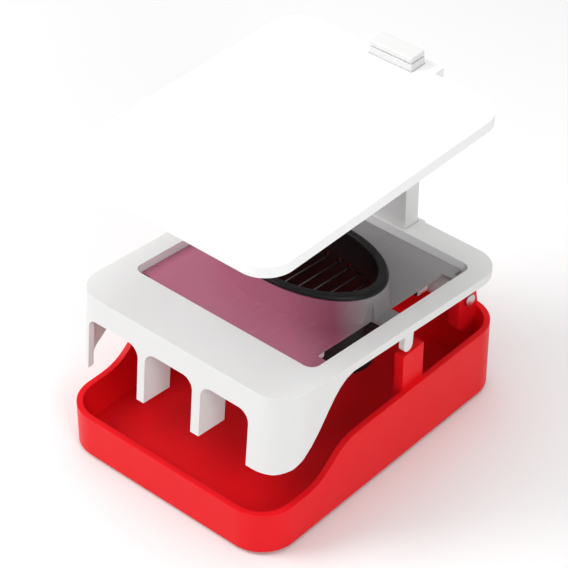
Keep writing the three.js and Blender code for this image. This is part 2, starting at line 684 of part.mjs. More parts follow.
// The spring stands in the column's channel between its floor and the carriage's tongue.
function returnSpring() {
  const z0 = columnSolidTop + GAP + SPRING_WIRE;
  const z1 = tongueUnder - GAP - SPRING_WIRE;
  class Helix extends THREE.Curve {
    getPoint(t, target = new THREE.Vector3()) {
      const angle = 2 * Math.PI * SPRING_TURNS * t;
      return target.set(
        SPRING_RADIUS * Math.cos(angle),
        columnY + COLUMN_WALL / 2 + SPRING_RADIUS * Math.sin(angle),
        THREE.MathUtils.lerp(z0, z1, t),
      );
    }
  }
  const section = new THREE.Shape();
  section.absarc(0, 0, SPRING_WIRE, 0, 2 * Math.PI);
  const options = { extrudePath: new Helix(), steps: SPRING_TURNS * 10, bevelEnabled: false, curveSegments: 3 };
  return solid(new THREE.ExtrudeGeometry(section, options));
}

const carriageY0 = columnY - COLUMN_DEPTH / 2 - GAP - CARRIAGE_WALL;
const carriageY1 = columnY + COLUMN_DEPTH / 2 + GAP + CARRIAGE_WALL;
const carriageHalf = COLUMN_WIDTH / 2 + GAP + CARRIAGE_WALL;
const carriageScrewX = carriageHalf + SCREW_HEAD + GAP;

function pressCarriage() {
  const sleeve = box(-carriageHalf, carriageHalf, carriageY0, carriageY1, carriageUnder, lidUnder - GAP);
  const flangeHalf = carriageScrewX + SCREW_HEAD + GAP;
  const flangeUnder = lidUnder - GAP - CARRIAGE_WALL;
  const flange = box(-flangeHalf, flangeHalf, carriageY0, columnY, flangeUnder, lidUnder - GAP);
  const bore = box(...columnSides(GAP), carriageUnder - BREAK, lidUnder + BREAK);
  const tongue = box(
    -TONGUE_HALF,
    TONGUE_HALF,
    columnY - COLUMN_DEPTH / 2 + COLUMN_WALL + GAP,
    columnY + COLUMN_DEPTH / 2 + 2 * GAP,
    tongueUnder,
    tongueTop,
  );
  const holes = [-carriageScrewX, carriageScrewX].map((x) =>
    screwHoleUp(x, carriageScrewY, carriageUnder, lidUnder + BREAK),
  );
  return cutAll(sleeve.add(flange).subtract(bore).add(tongue), holes);
}
const carriageScrewY = (carriageY0 + columnY) / 2;

function pressLid() {
  const rear = columnY + LID_REAR_REACH;
  const plate = slab(roundedRect(lidWidth, lidFront, rear, LID_CORNER), lidUnder, lidTop);
  const tabHalf = carriageScrewX + SCREW_HEAD + GAP;
  const tab = box(-tabHalf, tabHalf, carriageY0 - LID_RIM, carriageY1, lidUnder, lidTop);
  const hollow = slab(
    roundedRect(lidWidth - 2 * LID_RIM, lidFront + LID_RIM, carriageY0 - LID_RIM, LID_CORNER - LID_RIM),
    lidUnder - BREAK,
    pocketRoof,
  );
  const columnHole = box(...columnSides(GAP), lidUnder - BREAK, lidTop + BREAK);
  const carriageHoles = [-carriageScrewX, carriageScrewX].map((x) =>
    screwHoleUp(x, carriageScrewY, lidUnder - BREAK, pocketRoof),
  );
  const combHoles = combScrewPlaces.map((x) =>
    screwHoleUp(x, boreMiddle.y, pocketRoof - BREAK, lidTop - LID_SKIN / 2),
  );
  return cutAll(plate.subtract(hollow).add(tab), [columnHole, ...carriageHoles, ...combHoles]);
}

const combScrewX = fingerPlaces.at(-1) + FINGER_THICK / 2 + SCREW_HEAD + 2 * GAP;
const combRadius = combScrewX + SCREW_HEAD + GAP;
const combScrewPlaces = [-combScrewX, combScrewX];

// The comb's fingers pass between the wires and push the egg through them.
function pusherComb() {
  const base = ovalPlug(combRadius, combUnder, combTop, boreMiddle.y);
  const fingers = fingerPlaces.map((x) => {
    const half = ovalChord(OVAL_RADIUS, x) - FINGER_CLEARANCE;
    return box(
      x - FINGER_THICK / 2,
      x + FINGER_THICK / 2,
      boreMiddle.y - half,
      boreMiddle.y + half,
      combUnder - fingerLength,
      combUnder + GAP,
    );
  });
  const holes = combScrewPlaces.map((x) => screwHoleUp(x, boreMiddle.y, combUnder - BREAK, combTop + BREAK));
  return cutAll(union([base, ...fingers]), holes);
}

// ---- The assembly ----------------------------------------------------------------------------------
function buildTray() {
  const group = new THREE.Group();
  group.add(piece("tray_shell", trayShell(), redPlastic()));
  footPlaces.forEach(([name, x, y]) => group.add(piece("foot_" + name, foot(x, y), rubber())));
  const pin = piece("hinge_pin", hingePin(), steel());
  pin.position.set(0, hingeY, hingeZ);
  group.add(pin);
  return group;
}

function buildFrame() {
  const group = new THREE.Group();
  group.position.set(0, hingeY, hingeZ);
  group.rotation.x = -pitch;
  group.add(piece("frame_shell", frameShell(), whitePlastic()));
  group.add(piece("insert_plate", insertPlate(), greyPlastic()));
  group.add(piece("egg_collar", eggCollar(), blackPlastic()));
  group.add(piece("slice_guide", sliceGuide(), blackPlastic()));
  [
    ["front", openingMiddle - clampOffset],
    ["rear", openingMiddle + clampOffset],
  ].forEach(([name, y]) => {
    group.add(piece("wire_clamp_" + name, wireClamp(y), steel()));
    sides.forEach(([side, way]) => {
      const screw = piece("clamp_screw_" + name + "_" + side, screwUp(clampUnder - GAP, clampTop), steel());
      screw.position.set(way * clampScrewX, y, 0);
      group.add(screw);
    });
  });
  guideScrewPlaces.forEach((x, i) => {
    const shape = screwUp(clampTop - GUIDE_TAB / 2 - GAP, clampTop);
    const screw = piece("guide_screw_" + sides[i][0], shape, steel());
    screw.position.set(x, openingMiddle, 0);
    group.add(screw);
  });
  wirePlaces.forEach((x, i) => {
    const name = "wire_" + String(i + 1).padStart(2, "0");
    group.add(piece(name, wire(x), steel()));
  });
  columnScrewPlaces.forEach((x, i) => group.add(piece("column_screw_" + sides[i][0], columnScrew(x), steel())));
  return group;
}

function buildPress() {
  const group = new THREE.Group();
  group.add(piece("guide_column", guideColumn(), whitePlastic()));
  group.add(piece("column_cap", columnCap(), whitePlastic()));
  group.add(piece("return_spring", returnSpring(), steel()));
  group.add(piece("press_carriage", pressCarriage(), whitePlastic()));
  group.add(piece("press_lid", pressLid(), whitePlastic()));
  group.add(piece("pusher_comb", pusherComb(), whitePlastic()));
  combScrewPlaces.forEach((x, i) => {
    const screw = piece("comb_screw_" + sides[i][0], screwUp(combUnder - GAP, combTop), steel());
    screw.position.set(x, boreMiddle.y, 0);
    group.add(screw);
  });
  [-carriageScrewX, carriageScrewX].forEach((x, i) => {
    const seat = lidUnder - 2 * GAP - CARRIAGE_WALL;
    const screw = piece("carriage_screw_" + sides[i][0], screwUp(seat, pocketRoof - GAP), steel());
    screw.position.set(x, carriageScrewY, 0);
    group.add(screw);
  });
  return group;
}

const slicer = new THREE.Group();
slicer.add(buildTray(), buildFrame(), buildPress());

export default slicer;
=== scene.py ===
"""A press egg slicer: red catch tray, hinged white cutting frame, smoke insert and level press lid."""

import logging
import math
from dataclasses import dataclass, field, replace
from enum import Enum
from typing import Callable, Iterable, Optional, Sequence, Union

import bpy
from mathutils import Matrix, Vector


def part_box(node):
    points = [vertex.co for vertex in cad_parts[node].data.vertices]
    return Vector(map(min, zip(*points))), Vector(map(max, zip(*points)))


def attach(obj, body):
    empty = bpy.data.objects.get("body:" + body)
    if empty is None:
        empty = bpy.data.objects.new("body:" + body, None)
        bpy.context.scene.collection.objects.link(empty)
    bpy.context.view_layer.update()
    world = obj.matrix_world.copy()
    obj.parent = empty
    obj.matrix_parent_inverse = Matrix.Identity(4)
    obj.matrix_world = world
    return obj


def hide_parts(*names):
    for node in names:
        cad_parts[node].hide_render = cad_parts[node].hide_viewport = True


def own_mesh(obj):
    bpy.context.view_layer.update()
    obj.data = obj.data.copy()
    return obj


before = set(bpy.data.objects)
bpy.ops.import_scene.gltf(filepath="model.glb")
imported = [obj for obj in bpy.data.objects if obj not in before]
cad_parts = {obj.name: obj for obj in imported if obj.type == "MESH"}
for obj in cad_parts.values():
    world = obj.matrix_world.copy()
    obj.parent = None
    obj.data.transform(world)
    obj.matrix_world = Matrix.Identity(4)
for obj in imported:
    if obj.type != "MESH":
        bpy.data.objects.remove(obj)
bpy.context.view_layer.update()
LOG = logging.getLogger("egg_slicer")
MM = 0.001


class Body(Enum):
    """The moving bodies that a piece can ride on."""

    TRAY = "tray"
    FRAME = "frame"
    PRESS = "press"


class Slot(Enum):
    """The record's finish slots."""

    RED = "red_plastic"
    WHITE = "white_plastic"
    SMOKE = "smoke_plastic"
    BLACK = "black_plastic"
    STEEL = "steel"
    RUBBER = "foot_rubber"


class Grain(Enum):
    """How fine a surface's moulded or ground texture is, as repeats in a metre."""

    MOULDED = 2200.0
    SPARK = 5200.0


class Pattern(Enum):
    """The noises of the shared effects, as repeats in a metre and octaves."""

    MOTTLE = (28.0, 3.0)
    RIPPLE = (140.0, 2.0)
    GRAIN = (2000.0, 2.0)
    SCRATCH = (420.0, 4.0)


NOISE_MIDDLE = 0.5  # the value that noise varies about
RIPPLE_HEIGHT = 2.5  # the ripple's height, as a multiple of the grain's
SCRATCH_STRETCH = (1.0, 0.12, 1.0)  # scratches are noise drawn out along Y
SCRATCH_TURN = (0.2, 0.3, 0.9)  # and turned by these angles, in radians
SCRATCH_FROM = 0.55  # the noise value at which a scratch begins
SCRATCH_FULL = 0.90  # and the one at which it is full
SCUFF_DULLING = 0.35  # the roughness that a full scuff adds
RELIEF_STRENGTH = 0.35  # how much of the grain's height shows


# ---- Node groups -------------------------------------------------------------------------------------


class EffectGroup:
    """A shader node group with named inputs and outputs, built once and placed in many materials."""

    def __init__(self, name: str, inputs: Sequence[tuple], outputs: Sequence[tuple]) -> None:
        """Makes the group and its sockets.

        Args:
            name: the group's name.
            inputs: (name, socket type) of each input.
            outputs: (name, socket type) of each output.
        """
        self.tree = bpy.data.node_groups.new(name, "ShaderNodeTree")
        for label, kind in inputs:
            self.tree.interface.new_socket(label, in_out="INPUT", socket_type=kind)
        for label, kind in outputs:
            self.tree.interface.new_socket(label, in_out="OUTPUT", socket_type=kind)
        self.start = self.tree.nodes.new("NodeGroupInput")
        self.end = self.tree.nodes.new("NodeGroupOutput")

    def node(self, kind: str, **settings: object) -> bpy.types.Node:
        """Adds a node and sets its properties.

        Args:
            kind: the node's type name.
            settings: property names and values.

        Returns:
            The new node.
        """
        made = self.tree.nodes.new(kind)
        for key, value in settings.items():
            setattr(made, key, value)
        return made

    def link(self, source: bpy.types.NodeSocket, target: bpy.types.NodeSocket) -> None:
        """Joins two sockets."""
        self.tree.links.new(source, target)

    def place(self, tree: bpy.types.NodeTree, values: dict) -> bpy.types.Node:
        """Places the group in a material.

        Args:
            tree: the material's node tree.
            values: input names and their values.

        Returns:
            The group node.
        """
        made = tree.nodes.new("ShaderNodeGroup")
        made.node_tree = self.tree
        for key, value in values.items():
            made.inputs[key].default_value = value
        return made


def noise(group: EffectGroup, pattern: Pattern) -> bpy.types.Node:
    """Adds a noise texture on the piece's own coordinates, which are stretched for scratches.

    Args:
        group: the effect that it belongs to.
        pattern: the noise's scale and octaves.

    Returns:
        The noise node.
    """
    place = group.node("ShaderNodeTexCoord").outputs["Object"]
    made = group.node("ShaderNodeTexNoise")
    made.inputs["Scale"].default_value, made.inputs["Detail"].default_value = pattern.value
    if pattern is Pattern.SCRATCH:
        stretch = group.node("ShaderNodeMapping")
        stretch.inputs["Scale"].default_value = SCRATCH_STRETCH
        stretch.inputs["Rotation"].default_value = SCRATCH_TURN
        group.link(place, stretch.inputs["Vector"])
        place = stretch.outputs["Vector"]
    group.link(place, made.inputs["Vector"])
    return made


def moulding_effect() -> EffectGroup:
    """A moulded plastic's skin: slow mottling of its colour and gloss, flow ripple and fine grain.

    Returns:
        The group, with outputs Color, Roughness and Height.
    """
    effect = EffectGroup(
        "MouldedSkin",
        [
            ("Color", "NodeSocketColor"),
            ("Shade", "NodeSocketColor"),
            ("Mottle", "NodeSocketFloat"),
            ("Roughness", "NodeSocketFloat"),
            ("Spread", "NodeSocketFloat"),
            ("Grain Scale", "NodeSocketFloat"),
        ],
        [("Color", "NodeSocketColor"), ("Roughness", "NodeSocketFloat"), ("Height", "NodeSocketFloat")],
    )
    slow = noise(effect, Pattern.MOTTLE)
    ripple = noise(effect, Pattern.RIPPLE)
    fine = noise(effect, Pattern.GRAIN)
    effect.link(effect.start.outputs["Grain Scale"], fine.inputs["Scale"])
    amount = effect.node("ShaderNodeMath", operation="MULTIPLY")
    effect.link(slow.outputs["Fac"], amount.inputs[0])
    effect.link(effect.start.outputs["Mottle"], amount.inputs[1])
    tint = effect.node("ShaderNodeMix", data_type="RGBA")
    effect.link(amount.outputs[0], tint.inputs["Factor"])
    effect.link(effect.start.outputs["Color"], tint.inputs["A"])
    effect.link(effect.start.outputs["Shade"], tint.inputs["B"])
    effect.link(tint.outputs["Result"], effect.end.inputs["Color"])
    centred = effect.node("ShaderNodeMath", operation="SUBTRACT")
    centred.inputs[1].default_value = NOISE_MIDDLE
    effect.link(ripple.outputs["Fac"], centred.inputs[0])
    gloss = effect.node("ShaderNodeMath", operation="MULTIPLY_ADD")
    effect.link(centred.outputs[0], gloss.inputs[0])
    effect.link(effect.start.outputs["Spread"], gloss.inputs[1])
    effect.link(effect.start.outputs["Roughness"], gloss.inputs[2])
    effect.link(gloss.outputs[0], effect.end.inputs["Roughness"])
    height = effect.node("ShaderNodeMath", operation="MULTIPLY_ADD")
    height.inputs[1].default_value = RIPPLE_HEIGHT
    effect.link(ripple.outputs["Fac"], height.inputs[0])
    effect.link(fine.outputs["Fac"], height.inputs[2])
    effect.link(height.outputs[0], effect.end.inputs["Height"])
    return effect


def wear_effect() -> EffectGroup:
    """Handling: faint scuffs that lighten a colour and dull its gloss, strongest where the noise peaks.

    Returns:
        The group, with outputs Color and Roughness.
    """
    effect = EffectGroup(
        "HandlingWear",
        [
            ("Color", "NodeSocketColor"),
            ("Scuff Color", "NodeSocketColor"),
            ("Roughness", "NodeSocketFloat"),
            ("Amount", "NodeSocketFloat"),
        ],
        [("Color", "NodeSocketColor"), ("Roughness", "NodeSocketFloat")],
    )
    scratch = noise(effect, Pattern.SCRATCH)
    sharpen = effect.node("ShaderNodeMapRange")
    sharpen.inputs["From Min"].default_value = SCRATCH_FROM
    sharpen.inputs["From Max"].default_value = SCRATCH_FULL
    effect.link(scratch.outputs["Fac"], sharpen.inputs["Value"])
    mask = effect.node("ShaderNodeMath", operation="MULTIPLY")
    effect.link(sharpen.outputs["Result"], mask.inputs[0])
    effect.link(effect.start.outputs["Amount"], mask.inputs[1])
    tint = effect.node("ShaderNodeMix", data_type="RGBA")
    effect.link(mask.outputs[0], tint.inputs["Factor"])
    effect.link(effect.start.outputs["Color"], tint.inputs["A"])
    effect.link(effect.start.outputs["Scuff Color"], tint.inputs["B"])
    effect.link(tint.outputs["Result"], effect.end.inputs["Color"])
    dull = effect.node("ShaderNodeMath", operation="MULTIPLY_ADD")
    dull.inputs[1].default_value = SCUFF_DULLING
    effect.link(mask.outputs[0], dull.inputs[0])
    effect.link(effect.start.outputs["Roughness"], dull.inputs[2])
    effect.link(dull.outputs[0], effect.end.inputs["Roughness"])
    return effect


# ---- Finishes ----------------------------------------------------------------------------------------


@dataclass(frozen=True)
class Surface:
    """How a surface is textured and worn.

    The mottle is how far its colour goes towards its shade, the spread how much its roughness varies, the
    wear how strong its scuffs are, and the bump the grain's height in metres.
    """

    scuff: tuple
    roughness: float
    mottle: float = 0.25
    spread: float = 0.12
    wear: float = 0.05
    bump: float = 0.02 * MM
    grain: Grain = Grain.MOULDED


class FinishKit:
    """The shared effects and the helpers that every finish is built with."""

    def __init__(self) -> None:
        """Builds the shared node groups."""
        self.moulding = moulding_effect()
        self.wear = wear_effect()

    @staticmethod
    def material(name: str) -> tuple:
        """Starts a node material.

        Args:
            name: the material's name.

        Returns:
            The material, its tree and its Principled node.
        """
        made = bpy.data.materials.new(name)
        made.use_nodes = True
        tree = made.node_tree
        return made, tree, tree.nodes["Principled BSDF"]

    def skin(self, tree: bpy.types.NodeTree, shader: bpy.types.Node, surface: Surface) -> bpy.types.Node:
        """Joins the moulding and wear effects to a shader.

        Args:
            tree: the material's node tree.
            shader: its Principled node.
            surface: how the surface is textured and worn.

        Returns:
            The moulding node, so that a finish can give its colours.
        """
        texture = {
            "Mottle": surface.mottle,
            "Roughness": surface.roughness,
            "Spread": surface.spread,
            "Grain Scale": surface.grain.value,
        }
        moulded = self.moulding.place(tree, texture)
        worn = self.wear.place(tree, {"Scuff Color": (*surface.scuff, 1.0), "Amount": surface.wear})
        tree.links.new(moulded.outputs["Color"], worn.inputs["Color"])
        tree.links.new(moulded.outputs["Roughness"], worn.inputs["Roughness"])
        tree.links.new(worn.outputs["Color"], shader.inputs["Base Color"])
        tree.links.new(worn.outputs["Roughness"], shader.inputs["Roughness"])
        relief = tree.nodes.new("ShaderNodeBump")
        relief.inputs["Strength"].default_value = RELIEF_STRENGTH
        relief.inputs["Distance"].default_value = surface.bump
        tree.links.new(moulded.outputs["Height"], relief.inputs["Height"])
        tree.links.new(relief.outputs["Normal"], shader.inputs["Normal"])
        return moulded


@dataclass(frozen=True)
class PlasticFinish:
    """An opaque moulded plastic."""

    name: str
    color: tuple
    shade: tuple
    surface: Surface
    gloss: float = 0.35
    glow: float = 0.0
    glow_depth: float = 4.0 * MM
    glow_reach: tuple = (1.0, 0.1, 0.1)
    bending: float = 1.49

    def build(self, kit: FinishKit) -> bpy.types.Material:
        """Makes the material.

        Args:
            kit: the shared effects.

        Returns:
            The material.
        """
        made, tree, shader = kit.material(self.name)
        moulded = kit.skin(tree, shader, self.surface)
        moulded.inputs["Color"].default_value = (*self.color, 1.0)
        moulded.inputs["Shade"].default_value = (*self.shade, 1.0)
        shader.inputs["IOR"].default_value = self.bending
        shader.inputs["Specular IOR Level"].default_value = self.gloss
        shader.inputs["Subsurface Weight"].default_value = self.glow
        shader.inputs["Subsurface Scale"].default_value = self.glow_depth
        shader.inputs["Subsurface Radius"].default_value = self.glow_reach
        return made


@dataclass(frozen=True)
class SmokeFinishWithPaintedLight:
    """The insert's smoke plastic, with the red tray's light painted in at its front, painted shade by the
    collar, and greyer to the rear.

    The stops, which paint this light and shade into the colour, are (share of the way to the rear, colour),
    measured across the insert at a slant.
    """

    name: str = "Smoke insert with painted light"
    surface: Surface = Surface(
        (0.6, 0.58, 0.6), 0.38, mottle=0.12, spread=0.10, wear=0.10, bump=0.015 * MM, grain=Grain.SPARK
    )
    # painted light: the mauve front stops stand for the red tray's light; the dark stops at 0.52 and 0.62
    # are painted shade by the collar
    painted_light_stops: Sequence[tuple] = (
        (0.0, (0.46, 0.145, 0.225)),
        (0.38, (0.46, 0.145, 0.225)),
        (0.52, (0.28, 0.075, 0.125)),
        (0.62, (0.25, 0.235, 0.24)),
        (1.0, (0.33, 0.32, 0.325)),
    )
    start: float = -52.0 * MM
    end: float = 73.0 * MM
    slant: float = -0.9
    gloss: float = 0.3

    def build(self, kit: FinishKit) -> bpy.types.Material:
        """Makes the material.

        Args:
            kit: the shared effects.

        Returns:
            The material.
        """
        made, tree, shader = kit.material(self.name)
        moulded = kit.skin(tree, shader, self.surface)
        place = tree.nodes.new("ShaderNodeTexCoord")
        turn = tree.nodes.new("ShaderNodeMapping")
        turn.inputs["Rotation"].default_value = (0.0, 0.0, self.slant)
        tree.links.new(place.outputs["Object"], turn.inputs["Vector"])
        split = tree.nodes.new("ShaderNodeSeparateXYZ")
        tree.links.new(turn.outputs["Vector"], split.inputs["Vector"])
        along = tree.nodes.new("ShaderNodeMapRange")
        along.inputs["From Min"].default_value = self.start
        along.inputs["From Max"].default_value = self.end
        tree.links.new(split.outputs["X"], along.inputs["Value"])
        # this ramp paints the tray's light and the collar's shade into the insert's base colour
        ramp = tree.nodes.new("ShaderNodeValToRGB")
        elements = ramp.color_ramp.elements
        elements[0].color = (*self.painted_light_stops[0][1], 1.0)
        elements[1].color = (*self.painted_light_stops[-1][1], 1.0)
        for position, color in self.painted_light_stops[1:-1]:
            elements.new(position).color = (*color, 1.0)
        tree.links.new(along.outputs["Result"], ramp.inputs["Fac"])
        tree.links.new(ramp.outputs["Color"], moulded.inputs["Color"])
        tree.links.new(ramp.outputs["Color"], moulded.inputs["Shade"])
        shader.inputs["Specular IOR Level"].default_value = self.gloss
        return made


@dataclass(frozen=True)
class SteelFinish:
    """Drawn or turned stainless steel."""

    name: str
    color: tuple
    surface: Surface
    darkening: float = 0.7

    def build(self, kit: FinishKit) -> bpy.types.Material:
        """Makes the material.

        Args:
            kit: the shared effects.

        Returns:
            The material.
        """
        made, tree, shader = kit.material(self.name)
        moulded = kit.skin(tree, shader, self.surface)
        moulded.inputs["Color"].default_value = (*self.color, 1.0)
        moulded.inputs["Shade"].default_value = (*(self.darkening * part for part in self.color), 1.0)
        shader.inputs["Metallic"].default_value = 1.0
        return made


RED = PlasticFinish(
    "Red tray plastic",
    color=(0.84, 0.008, 0.010),
    shade=(0.76, 0.005, 0.022),
    surface=Surface((0.88, 0.05, 0.05), 0.40, mottle=0.45),
    gloss=0.14,
    glow=0.35,
)
WHITE = PlasticFinish(
    "White plastic",
    color=(0.80, 0.80, 0.795),
    shade=(0.75, 0.75, 0.745),
    surface=Surface((0.86, 0.86, 0.85), 0.38),
    gloss=0.3,
)
LID_WHITE = PlasticFinish(
    "Lid white plastic",
    color=(0.93, 0.93, 0.93),
    shade=(0.90, 0.90, 0.90),
    surface=Surface((0.95, 0.95, 0.95), 0.34),
)
BLACK = PlasticFinish(
    "Black plastic",
    color=(0.006, 0.006, 0.0065),
    shade=(0.012, 0.012, 0.013),
    surface=Surface((0.03, 0.03, 0.03), 0.42, wear=0.06),
    gloss=0.25,
)
RUBBER = PlasticFinish(
    "Foot rubber",
    color=(0.022, 0.022, 0.022),
    shade=(0.035, 0.034, 0.033),
    surface=Surface((0.09, 0.09, 0.085), 0.75, mottle=0.5, wear=0.35, bump=0.05 * MM, grain=Grain.SPARK),
)
DRAWN = Surface(
    (0.8, 0.8, 0.82), 0.26, mottle=0.3, spread=0.2, wear=0.15, bump=0.008 * MM, grain=Grain.SPARK
)
STEEL = SteelFinish("Screw steel", (0.62, 0.62, 0.64), DRAWN)
WIRE_STEEL = SteelFinish("Wire steel", (0.30, 0.30, 0.31), replace(DRAWN, roughness=0.35))
SPRING_STEEL = SteelFinish("Spring steel", (0.50, 0.50, 0.52), replace(DRAWN, roughness=0.22))
SMOKE = SmokeFinishWithPaintedLight()
Finish = Union[PlasticFinish, SmokeFinishWithPaintedLight, SteelFinish]


class Palette:
    """Builds each finish once and dresses pieces with it."""

    def __init__(self) -> None:
        """Builds the shared effects."""
        self.kit = FinishKit()
        self.made: dict = {}

    def dress(self, piece: bpy.types.Object, finish: Finish) -> None:
        """Gives a piece one finish all over.

        Args:
            piece: the object.
            finish: one of the finishes.
        """
        if finish not in self.made:
            self.made[finish] = finish.build(self.kit)
        piece.data.materials.clear()
        piece.data.materials.append(self.made[finish])


# ---- Modelling helpers -------------------------------------------------------------------------------


SHARP_DEGREES = 38.0  # an edge that turns more than this is shaded sharp
ROUNDED_DEGREES = 28.0  # an edge that turns more than this gets a round
FLAT_DEGREES = 0.6  # faces that turn less than this are one flat
SAME_POINT = 0.002 * MM  # points closer than this are one point
FACING = 0.9  # a face looks along an axis where more than this of its normal lies on it


def only(piece: bpy.types.Object) -> None:
    """Selects one object and makes it active.

    Args:
        piece: the object.
    """
    bpy.ops.object.select_all(action="DESELECT")
    piece.select_set(True)
    bpy.context.view_layer.objects.active = piece


def apply_modifier(piece: bpy.types.Object, kind: str, **settings: object) -> None:
    """Adds a modifier, sets it and applies it.

    Args:
        piece: the object.
        kind: the modifier's type.
        settings: its properties.
    """
    only(piece)
    made = piece.modifiers.new(kind.title(), kind)
    for key, value in settings.items():
        setattr(made, key, value)
    bpy.ops.object.modifier_apply(modifier=made.name)


def smooth(piece: bpy.types.Object, degrees: float = SHARP_DEGREES) -> None:
    """Shades a piece smooth, apart from its sharp edges, with its flats kept flat.

    Args:
        piece: the object.
        degrees: the angle past which an edge stays sharp.
    """
    only(piece)
    bpy.ops.object.shade_smooth_by_angle(angle=math.radians(degrees))
    apply_modifier(piece, "WEIGHTED_NORMAL", keep_sharp=True)


def settle(piece: bpy.types.Object) -> None:
    """Puts an object's place into its mesh, so that the object sits at the origin."""
    only(piece)
    bpy.ops.object.transform_apply(location=True, rotation=True, scale=True)


def select_faces(piece: bpy.types.Object, wanted: Callable[[bpy.types.MeshPolygon], bool]) -> None:
    """In edit mode, selects only the faces that pass a test.

    Args:
        piece: the object.
        wanted: a function of a polygon that says whether it is selected.
    """
    bpy.ops.mesh.select_all(action="DESELECT")
    bpy.ops.object.mode_set(mode="OBJECT")
    for polygon in piece.data.polygons:
        polygon.select = wanted(polygon)
    bpy.ops.object.mode_set(mode="EDIT")
    bpy.ops.mesh.select_mode(type="FACE")


def softened(node: str, name: str, width: float, segments: int) -> bpy.types.Object:
    """Copies a structural node, merges its faces into flats and rounds its edges as a mould does.

    Args:
        node: the structural node.
        name: the new piece's name.
        width: the round's width in metres.
        segments: steps across the round.

    Returns:
        The new piece, which stands for the node.
    """
    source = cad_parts[node]
    mesh = source.data.copy()
    mesh.name = name
    piece = bpy.data.objects.new(name, mesh)
    bpy.context.scene.collection.objects.link(piece)
    only(piece)
    bpy.ops.object.mode_set(mode="EDIT")
    bpy.ops.mesh.select_all(action="SELECT")
    bpy.ops.mesh.remove_doubles(threshold=SAME_POINT)
    bpy.ops.mesh.dissolve_limited(angle_limit=math.radians(FLAT_DEGREES))
    bpy.ops.mesh.select_all(action="DESELECT")
    bpy.ops.object.mode_set(mode="OBJECT")
    apply_modifier(
        piece,
        "BEVEL",
        width=width,
        segments=segments,
        limit_method="ANGLE",
        angle_limit=math.radians(ROUNDED_DEGREES),
        use_clamp_overlap=True,
    )
    smooth(piece)
    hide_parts(node)
    return piece


def finish_piece(
    piece: bpy.types.Object,
    body: Body,
    palette: Palette,
    finish: Finish,
) -> None:
    """Dresses a piece, puts it on its body and reports it.

    Args:
        piece: the object.
        body: the body that it rides on.
        palette: the finishes.
        finish: the piece's finish.
    """
    palette.dress(piece, finish)
    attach(piece, body.value)
    LOG.info("%s on %s: %d faces", piece.name, body.value, len(piece.data.polygons))


def centre_of(node: str) -> Vector:
    """The middle of a node's box."""
    low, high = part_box(node)
    return (low + high) / 2


@dataclass(frozen=True)
class SoftPiece:
    """A piece that keeps its structural node's form, with rounded edges. The round is in metres."""

    node: str
    made: str
    round_width: float
    round_steps: int
    body: Body
    slot: Slot
    finish: Finish

    def build(self, palette: Palette) -> None:
        """Models and dresses the piece.

        Args:
            palette: the finishes.
        """
        piece = softened(self.node, f"{self.node}_{self.made}", self.round_width, self.round_steps)
        finish_piece(piece, self.body, palette, self.finish)


def frame_pitch() -> float:
    """Finds how far the frame's front stands up from how far a wire climbs along its length.

    Returns:
        The angle in radians.
    """
    low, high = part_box("wire_01")
    size = high - low
    thick = size.x
    return math.atan2(size.z - thick, size.y)


